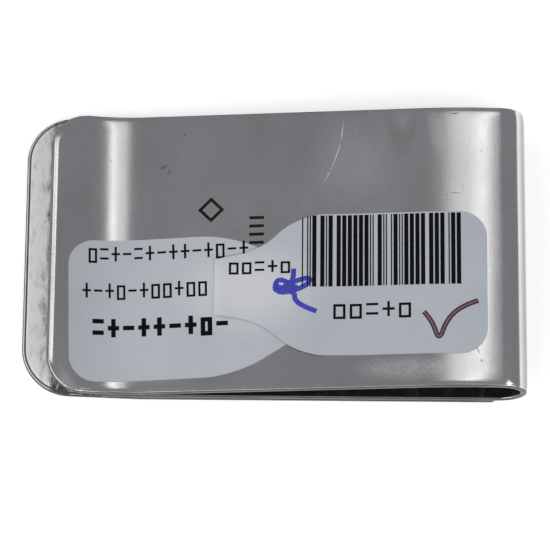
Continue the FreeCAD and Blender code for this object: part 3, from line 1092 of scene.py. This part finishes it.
@dataclass
class FaceTrim:
    """The pierced overlay and the gold pieces set in it, with their edges eased."""

    ease: float = 0.06 * MM

    def eased_copy(self, node: str, width: float) -> Piece:
        """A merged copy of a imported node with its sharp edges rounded."""
        piece = copy_piece(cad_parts[node], node + "_eased")
        enter_edit(piece)
        bpy.ops.mesh.select_all(action="SELECT")
        bpy.ops.mesh.remove_doubles(threshold=1e-6)
        bpy.ops.mesh.dissolve_limited(angle_limit=math.radians(1.0))
        leave_edit()
        make_active(piece)
        rounding = piece.modifiers.new("rounding", "BEVEL")
        rounding.width = width
        rounding.segments = 3
        rounding.limit_method = "ANGLE"
        rounding.angle_limit = math.radians(50)
        bpy.ops.object.modifier_apply(modifier=rounding.name)
        smooth(piece)
        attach(piece, "face")
        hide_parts(node)
        return piece

    def build(self, silver: Material, gold: Material) -> None:
        """Eases and dresses each piece of the face."""
        overlay = self.eased_copy("face_overlay", self.ease)
        dress(overlay, silver)
        for node in ("gold_plaque", "gold_bar_free_end", "gold_bar_bend_end"):
            trim = self.eased_copy(node, self.ease)
            dress(trim, gold)
            log.info("%s: %d faces", trim.name, len(trim.data.polygons))


# ---- the price tag -------------------------------------------------------------------------------


class Mark(Enum):
    """The plain signs that stand for printing."""

    EQUALS = "two dashes"
    PLUS = "cross"
    BOX = "low box"
    DASH = "one dash"

    def strokes(self, width: float, height: float, stroke: float) -> list[tuple[float, float, float, float]]:
        """The sign's strokes as rectangles.

        Args:
            width: The sign's width.
            height: The printed row's height.
            stroke: The pen width.

        Returns:
            Lowest X, lowest Y, highest X and highest Y of each stroke, from the sign's lower left corner.
        """
        half = stroke / 2
        if self is Mark.EQUALS:
            return [(0, height * share, width, height * share + stroke) for share in (0.2, 0.7)]
        if self is Mark.PLUS:
            return [(width / 2 - half, height * 0.1, width / 2 + half, height * 0.9),
                    (0, height / 2 - half, width / 2 - half, height / 2 + half),
                    (width / 2 + half, height / 2 - half, width, height / 2 + half)]
        if self is Mark.BOX:
            top = height * 0.8
            return [(0, 0, width, stroke), (0, top - stroke, width, top), (0, stroke, stroke, top - stroke),
                    (width - stroke, stroke, width, top - stroke)]
        return [(0, height / 2 - half, width, height / 2 + half)]


@dataclass(frozen=True)
class PrintRow:
    """A row of plain signs where the tag carries printing."""

    name: str
    left: float
    bottom: float
    count: int
    pitch: float
    height: float
    stroke: float

    def build(self) -> Piece:
        """Lays the row's strokes out flat, as one piece."""
        signs = (Mark.BOX, Mark.PLUS, Mark.EQUALS, Mark.BOX, Mark.PLUS, Mark.BOX, Mark.DASH)
        pieces = []
        for index in range(self.count):
            sign = signs[(index * 2 + index // 4 + self.count) % len(signs)]
            x = self.left + index * self.pitch
            for x0, y0, x1, y1 in sign.strokes(self.pitch * 0.74, self.height, self.stroke):
                pieces.append(add_rectangle("stroke", (x + x0, self.bottom + y0), (x + x1, self.bottom + y1)))
        return join_pieces(pieces, self.name)


@dataclass
class PriceTag:
    """The paper tag on the arm: a lower pad, and an upper pad whose neck is folded back under itself."""

    line: StripLine
    paper: float = 0.1 * MM
    glue: float = 0.02 * MM
    ink: float = 0.012 * MM
    fold_radius: float = 0.09 * MM
    height: float = 16.0 * MM
    neck_height: float = 8.0 * MM
    fold_height: float = 6.3 * MM
    end_corner: float = 2.9 * MM
    shoulder: float = 3.4 * MM
    neck_corner: float = 1.5 * MM
    lower_end: float = -22.4 * MM
    lower_shoulder: float = -4.3 * MM
    lower_neck: float = 2.6 * MM
    lower_y: float = -6.4 * MM
    lower_turn: float = math.radians(1.6)
    fold_x: float = -6.2 * MM
    upper_neck: float = -1.6 * MM
    upper_neck_corner: float = 2.0 * MM
    upper_shoulder: float = 2.9 * MM
    upper_shoulder_corner: float = 2.7 * MM
    fold_bulge: float = 0.16 * MM
    slack: float = 0.05 * MM
    upper_end: float = 23.0 * MM
    upper_y: float = -4.25 * MM
    under_reach: float = 8.5 * MM
    landing: tuple[float, float] = (2.6 * MM, 9.0 * MM)
    bar_left: float = 3.1 * MM
    bar_right: float = 19.9 * MM
    bar_bottom: float = -4.5 * MM
    thin_bar: float = 0.13 * MM
    wide_bar: float = 0.45 * MM
    narrow_gap: float = 0.15 * MM
    wide_gap: float = 0.42 * MM

    def bend_paper(self, pad: Piece) -> None:
        """Cuts a pad across often enough to follow the arm."""
        enter_edit(pad)
        slice_mesh(np.arange(-23 * MM, 23 * MM, 0.8 * MM), X_AXIS)
        leave_edit()

    def turn_lower(self, piece: Piece) -> None:
        """Turns a piece with the lower pad, which was stuck on slightly askew."""
        middle = Vector(((self.lower_end + self.lower_neck) / 2, self.lower_y, 0))
        turn = Matrix.Rotation(self.lower_turn, 4, "Z")
        piece.data.transform(Matrix.Translation(middle) @ turn @ Matrix.Translation(-middle))

    def upper_rise(self, x: np.ndarray) -> np.ndarray:
        """How high the upper pad's underside is: on the stack to the left, on the arm to the right."""
        stacked = self.glue + self.paper * 2 + self.slack * 2
        share = np.clip((x - self.landing[0]) / (self.landing[1] - self.landing[0]), 0, 1)
        share = share * share * (3 - 2 * share)
        bulge = self.fold_bulge * np.exp(-((x - self.fold_x - 0.9 * MM) / (0.8 * MM)) ** 2)
        return stacked + (self.glue - stacked) * share + bulge

    def build_lower(self) -> Piece:
        """The lower pad, its neck running in under the upper one."""
        half = self.height / 2
        pad = add_blank("tag_lower_pad", [
            Station(self.lower_end, half, self.end_corner), Station(self.lower_shoulder, half, self.shoulder),
            Station(self.lower_neck, self.neck_height / 2, self.neck_corner),
            Station(self.lower_neck + 2 * MM, self.neck_height / 2)])
        pad.data.transform(Matrix.Translation((0, self.lower_y, self.glue)))
        self.turn_lower(pad)
        thicken(pad, self.paper)
        self.bend_paper(pad)
        self.line.lay_on_arm(pad)
        return pad

    def build_upper(self) -> Piece:
        """The upper pad, with the end of its neck folded back underneath."""
        half = self.height / 2
        fold = self.fold_height / 2
        tail = self.fold_x - self.under_reach
        pad = add_blank("tag_upper_pad", [
            Station(tail, fold), Station(self.fold_x, fold),
            Station(self.upper_neck, self.neck_height / 2, self.upper_neck_corner),
            Station(self.upper_shoulder, half, self.upper_shoulder_corner),
            Station(self.upper_end, half, self.end_corner)])
        pad.data.transform(Matrix.Translation((0, self.upper_y, 0)))
        thicken(pad, self.paper)
        arc = self.fold_radius * math.pi
        enter_edit(pad)
        slice_mesh(np.linspace(self.fold_x - arc, self.fold_x, 9), X_AXIS)
        leave_edit()
        self.bend_paper(pad)
        points = read_points(pad)
        u, lift = points[:, 0].copy(), points[:, 2].copy()
        angle = np.clip((self.fold_x - u) / self.fold_radius, 0, math.pi)
        past = np.maximum(self.fold_x - arc - u, 0)
        reach = np.maximum(u, self.fold_x) - (self.fold_radius + lift) * np.sin(angle) + past
        drop = (self.fold_radius + lift) * np.cos(angle) - self.fold_radius
        askew = np.where(u < self.fold_x, -0.035 * past, 0.0)
        points[:, 0] = reach
        points[:, 1] += askew
        points[:, 2] = self.upper_rise(reach) + drop
        write_points(pad, points)
        self.line.lay_on_arm(pad)
        return pad

    def finish_ink(self, piece: Piece, on_lower: bool) -> None:
        """Raises flat ink to its thickness and lays it on its pad."""
        thicken(piece, self.ink)
        if on_lower:
            self.turn_lower(piece)
        points = read_points(piece)
        under = self.glue if on_lower else self.upper_rise(points[:, 0])
        points[:, 2] += under + self.paper
        write_points(piece, points)
        self.line.lay_on_arm(piece)

    def build_rows(self) -> list[Piece]:
        """The rows of plain marks on both pads."""
        lower = [PrintRow("lower_print_first", -20.2 * MM, -1.0 * MM, 14, 1.28 * MM, 2.1 * MM, 0.24 * MM),
                 PrintRow("lower_print_second", -20.9 * MM, -5.2 * MM, 11, 1.28 * MM, 2.1 * MM, 0.24 * MM),
                 PrintRow("lower_print_bold", -19.8 * MM, -9.7 * MM, 9, 1.7 * MM, 2.6 * MM, 0.5 * MM)]
        upper = [PrintRow("upper_print_neck", -4.8 * MM, -2.9 * MM, 5, 1.4 * MM, 1.7 * MM, 0.24 * MM),
                 PrintRow("upper_print_number", 6.5 * MM, -8.2 * MM, 5, 1.76 * MM, 2.1 * MM, 0.27 * MM)]
        pieces = []
        for rows, on_lower in ((lower, True), (upper, False)):
            for row in rows:
                piece = row.build()
                self.finish_ink(piece, on_lower)
                pieces.append(piece)
        return pieces

    def build_bars(self) -> Piece:
        """Upright bars of uneven width, cut from one strip of ink."""
        top = self.upper_y + self.height / 2 - 0.15 * MM
        cuts = []
        place = self.bar_left
        index = 0
        while place < self.bar_right:
            wide = (index * 2 + index // 5) % 7 in (1, 3, 5, 6)
            ink = self.wide_bar if wide else self.thin_bar
            cuts.append((place, place + ink))
            place += ink + (self.wide_gap if (index * 3 + index // 4) % 9 < 2 else self.narrow_gap)
            index += 1
        bars = add_rectangle("upper_print_bars", (cuts[0][0], self.bar_bottom), (cuts[-1][1], top))
        enter_edit(bars)
        slice_mesh([edge for pair in cuts for edge in pair][1:-1], X_AXIS)
        choose(bars, Element.FACE,
               lambda f: not any(low < f.calc_center_median().x < high for low, high in cuts))
        bpy.ops.mesh.delete(type="FACE")
        bpy.ops.mesh.select_all(action="SELECT")
        bpy.ops.mesh.bisect(plane_co=(self.upper_shoulder, top - 0.35 * MM, 0), plane_no=(-0.42, 1.0, 0),
                            clear_outer=True, threshold=HAIR)
        leave_edit()
        self.finish_ink(bars, on_lower=False)
        return bars

    def build_pen(self, name: str, route: Sequence[tuple[float, float]], width: float,
                  lift: float) -> Piece:
        """A pen stroke along a smooth route on the upper pad.

        Args:
            name: The piece's name.
            route: Places that guide the stroke, in millimetres.
            width: The stroke's width.
            lift: How far its top stands over the paper.

        Returns:
            The stroke as a mesh.
        """
        start_clean()
        data = bpy.data.curves.new(name, "CURVE")
        data.dimensions = "3D"
        data.resolution_u = 8
        data.bevel_depth = width / 2
        data.bevel_resolution = 2
        data.use_fill_caps = True
        spline = data.splines.new("NURBS")
        spline.points.add(len(route) - 1)
        for point, (x, y) in zip(spline.points, route):
            point.co = (x * MM, y * MM, 0.0, 1.0)
        spline.use_endpoint_u = True
        spline.order_u = 3
        stroke = bpy.data.objects.new(name, data)
        bpy.context.scene.collection.objects.link(stroke)
        make_active(stroke)
        bpy.ops.object.convert(target="MESH")
        points = read_points(stroke)
        points[:, 2] = self.upper_rise(points[:, 0]) + self.paper + points[:, 2] * (2 * lift / width)
        write_points(stroke, points)
        self.line.lay_on_arm(stroke)
        return stroke

    def build(self, paper: Material, black: Material, blue: Material,
              plum: Material, plum_core: Material) -> None:
        """Models the whole tag and lets it ride on the arm."""
        lower = self.build_lower()
        upper = self.build_upper()
        papers = [lower, upper]
        inks = [*self.build_rows(), self.build_bars()]
        scribble_route = [
            (2.2, -2.4), (2.3, -4.4), (0.4, -3.3), (0.1, -5.2),
            (1.8, -4.0), (4.2, -3.3), (3.6, -4.5), (0.6, -5.3),
            (0.3, -4.1), (1.6, -5.2), (2.9, -4.4), (1.0, -4.6),
            (2.4, -5.2), (2.3, -5.9), (3.2, -6.7), (4.7, -7.3)]
        scribble = self.build_pen("pen_scribble", scribble_route, 0.56 * MM, 0.012 * MM)
        tick_route = [(16.2, -7.6), (17.1, -8.6), (17.8, -11.0), (18.6, -8.6), (20.2, -7.0), (22.0, -6.4)]
        tick = self.build_pen("pen_tick", tick_route, 0.54 * MM, 0.010 * MM)
        core = self.build_pen("pen_tick_core", tick_route, 0.27 * MM, 0.014 * MM)
        for piece, finish in [(p, paper) for p in papers] + [(p, black) for p in inks] + [
                (scribble, blue), (tick, plum), (core, plum_core)]:
            dress(piece, finish)
            smooth(piece)
            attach(piece, "arm")
            log.info("%s: %d faces", piece.name, len(piece.data.polygons))
        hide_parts("price_tag")


# ---- floor, light and camera ---------------------------------------------------------------------


@dataclass
class Studio:
    """A pale floor, a strip softbox overhead with soft fills out of the mirror's way, and the camera."""

    camera_distance: float = 0.4
    camera_elevation: float = math.radians(72.2)
    camera_roll: float = math.radians(0.5)
    frame_width: float = 60.1 * MM
    aim: Triple = (0.0, 0.0, 3.0 * MM)
    drop: float = 2.2 * MM
    sidestep: float = 0.1 * MM
    world_grey: Colour = (0.245, 0.242, 0.262)
    floor_glow: float = 0.35

    def add_floor(self) -> None:
        """A large pale floor under the clip."""
        floor = add_rectangle("floor", (-2.0, -2.0), (2.0, 2.0), -0.02 * MM)
        nodes = Nodes("pale_floor")
        tone = nodes.noise((40, 40, 40), detail=3)
        colour = nodes.blend(tone, (0.95, 0.95, 0.947), (0.97, 0.97, 0.967))
        dress(floor, nodes.finish(colour, 0.8, Emission_Color=(1.0, 1.0, 1.0, 1.0),
                                  Emission_Strength=self.floor_glow))

    def add_light(self, name: str, place: Triple, size: tuple[float, float], watts: float) -> None:
        """A soft rectangular light that faces the clip.

        Args:
            name: The light's name.
            place: Where it stands.
            size: Its width and height.
            watts: Its power.
        """
        lamp = bpy.data.lights.new(name, "AREA")
        lamp.shape = "RECTANGLE"
        lamp.size, lamp.size_y = size
        lamp.energy = watts
        stand = bpy.data.objects.new(name, lamp)
        stand.location = place
        stand.rotation_euler = (Vector(self.aim) - Vector(place)).to_track_quat("-Z", "Y").to_euler()
        bpy.context.scene.collection.objects.link(stand)

    def add_world(self) -> None:
        """Even grey surroundings."""
        world = bpy.data.worlds.new("surroundings")
        world.use_nodes = True
        world.node_tree.nodes["Background"].inputs["Color"].default_value = (*self.world_grey, 1.0)
        bpy.context.scene.world = world
        bpy.context.scene.view_settings.view_transform = "Standard"

    def add_camera(self) -> None:
        """A long lens above the near side, rolled by a hair."""
        back = Vector((0, -math.cos(self.camera_elevation), math.sin(self.camera_elevation)))
        right = Vector((1, 0, 0))
        up = back.cross(right)
        turned_right = right * math.cos(self.camera_roll) + up * math.sin(self.camera_roll)
        turned_up = back.cross(turned_right)
        lens = bpy.data.cameras.new("camera")
        lens.lens = lens.sensor_width * self.camera_distance / self.frame_width
        lens.clip_start = 0.01
        camera = bpy.data.objects.new("camera", lens)
        place = Vector(self.aim) + back * self.camera_distance - up * self.drop + right * self.sidestep
        turn = Matrix((turned_right, turned_up, back)).transposed().to_4x4()
        camera.matrix_world = Matrix.Translation(place) @ turn
        bpy.context.scene.collection.objects.link(camera)
        bpy.context.scene.camera = camera

    def build(self) -> None:
        """Sets up the whole stage."""
        self.add_floor()
        self.add_world()
        self.add_light("overhead_softbox", (0.213, 0.62, 1.93), (0.12, 1.0), 0.42)
        self.add_light("overhead_wide_softbox", (0.07, 0.66, 2.00), (0.42, 1.0), 0.88)
        self.add_light("left_front_fill", (-0.95, -0.75, 0.95), (1.7, 1.7), 13.6)
        self.add_light("right_front_fill", (0.95, -0.75, 0.95), (1.7, 1.7), 15.2)
        self.add_light("left_rim_light", (-1.1, 0.42, 0.45), (1.2, 0.8), 7.0)
        self.add_camera()


# Darker streaks: the first two make a painted V-shaped shadow near the far edge; the rest are small dark
# marks and scratches.
DARK_SCUFFS_AND_PAINTED_SHADOW = tuple(ScuffAndPaintedLight(*row) for row in (
    (13.2, 12.8, 6.2, 2.2, -72, 0.30), (14.4, 12.6, 6.0, 2.0, 72, 0.26),
    (19.6, 15.1, 1.3, 0.16, 4, 0.9), (19.6, 5.9, 1.5, 0.14, -5, 0.6), (-12.2, 9.9, 1.1, 0.5, 30, 0.75),
    (-11.6, 9.3, 0.6, 0.4, 80, 0.75), (-10.0, 13.6, 0.6, 0.2, -20, 0.6),
    (-10.4, 13.3, 0.3, 0.2, 40, 0.5), (-2.0, 10.6, 0.3, 0.25, 0, 0.6), (3.5, 11.5, 0.35, 0.2, 0, 0.6),
    (-4.4, 2.3, 0.3, 0.3, 0, 0.6), (12.3, -13.0, 0.5, 0.36, 10, 1.0),
    (21.9, -11.9, 1.2, 0.12, -60, 0.9), (22.3, -13.1, 0.3, 0.3, 0, 0.8)))
# Lighter streaks: the long ones along the near side (negative Y) at the crown and the lip are painted
# highlights; the others lighten and roughen patches of the arm.
PAINTED_HIGHLIGHTS_AND_LIGHT_SCUFFS = tuple(ScuffAndPaintedLight(*row) for row in (
    (14.0, 14.6, 2.4, 4.5, 0, 0.16), (8.0, 10.0, 9.0, 11.0, 0, 0.30), (17.5, 13.0, 2.0, 7.0, 10, 0.25),
    (-13.5, -14.6, 9.0, 0.8, 1, 0.25), (14.0, -13.8, 12.0, 3.0, 0, 0.6), (20.5, -13.6, 6.0, 3.0, 0, 0.5)))
SCRATCHES = (Scratch(centre=(-8.5, 15.5), radius=16.0, width=0.04, window=(6.8, 10.6), window_radius=4.6),)
BEND_PAINTED_REFLECTION_PAST_ARM = 2.0 * MM  # how far past the arm's body the bend's painted darker reflection begins


def main() -> None:
    """Builds every sub-assembly in order."""
    line = StripLine()
    silver = SatinSilver(bend_painted_reflection_x=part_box("back_arm")[1].x + BEND_PAINTED_REFLECTION_PAST_ARM, dark_scuffs_and_painted_shadow=DARK_SCUFFS_AND_PAINTED_SHADOW,
                         painted_highlights_and_light_scuffs=PAINTED_HIGHLIGHTS_AND_LIGHT_SCUFFS, scratches=SCRATCHES).make()
    edge = SheetEdge().make()
    dark = DarkSilver().make()
    gold = GoldFill().make()
    # the fold's inner faces: painted shade, dark deep in the gap near the bend and paler towards the free end
    fold = DarkSilver(name="fold_painted_shade", fade=(-23.0 * MM, -6.0 * MM)).make()
    SpringStrip(line).build(silver, fold, edge, dark)
    FacePlate().build(RawPlate().make(line.arm_end_x), dark, edge)
    FaceTrim().build(SatinSilver(name="overlay_silver", roughness=0.22).make(), gold)
    dress(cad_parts["solder_fillet"], SolderSeam().make())
    for node in ("centre_boss", "bead_row_lower", "bead_row_upper"):
        dress(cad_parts[node], gold)
    black = Ink("print_ink", (0.003, 0.003, 0.004), (0.008, 0.008, 0.010)).make()
    blue = Ink("blue_pen", (0.045, 0.05, 0.36), (0.10, 0.11, 0.45)).make()
    plum = Ink("plum_pen", (0.045, 0.022, 0.035), (0.07, 0.04, 0.06)).make()
    plum_core = Ink("plum_pen_thin", (0.16, 0.09, 0.12), (0.22, 0.14, 0.17)).make()
    PriceTag(line).build(TagPaper().make(), black, blue, plum, plum_core)
    Studio().build()


if __name__ == "__main__":
    main()
